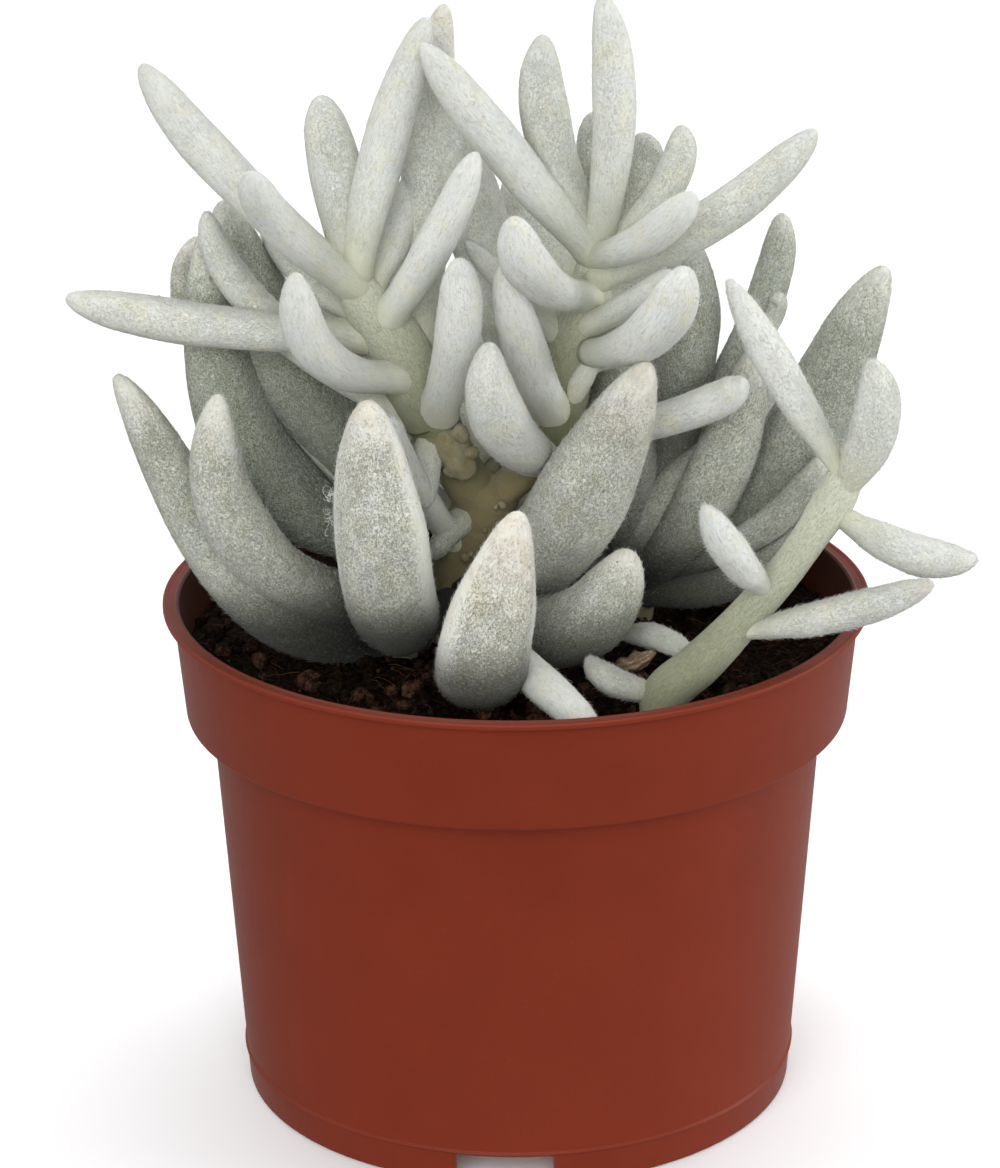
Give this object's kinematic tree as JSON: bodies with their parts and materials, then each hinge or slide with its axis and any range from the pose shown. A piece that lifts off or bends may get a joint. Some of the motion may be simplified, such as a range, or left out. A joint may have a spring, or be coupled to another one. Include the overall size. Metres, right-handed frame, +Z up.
{
  "type": "potted succulent plant",
  "caption": "White-felted senecio with upright finger-shaped leaves on short branching stems, in a round plastic nursery pot with a collar, filled with peat.",
  "frame": {"origin": "centre of the pot's foot, on the surface that it stands on", "axes": "+Z up along the pot's axis, -Y towards the viewer of the picture, +X to the viewer's right"},
  "size_m": [0.149, 0.1225, 0.1926],
  "materials": {
    "terracotta_plastic": "satin",
    "peat": "matt, crumbly",
    "felted_leaf": "matt, felted",
    "dry_leaf": "matt"
  },
  "bodies": {
    "root": {"pot": "terracotta_plastic", "soil": "peat", "main_plant": "felted_leaf", "left_shoot": "felted_leaf", "right_shoot": "felted_leaf", "side_shoot": "felted_leaf", "back_shoot": "felted_leaf", "dry_leaf": "dry_leaf"}
  },
  "joints": []
}
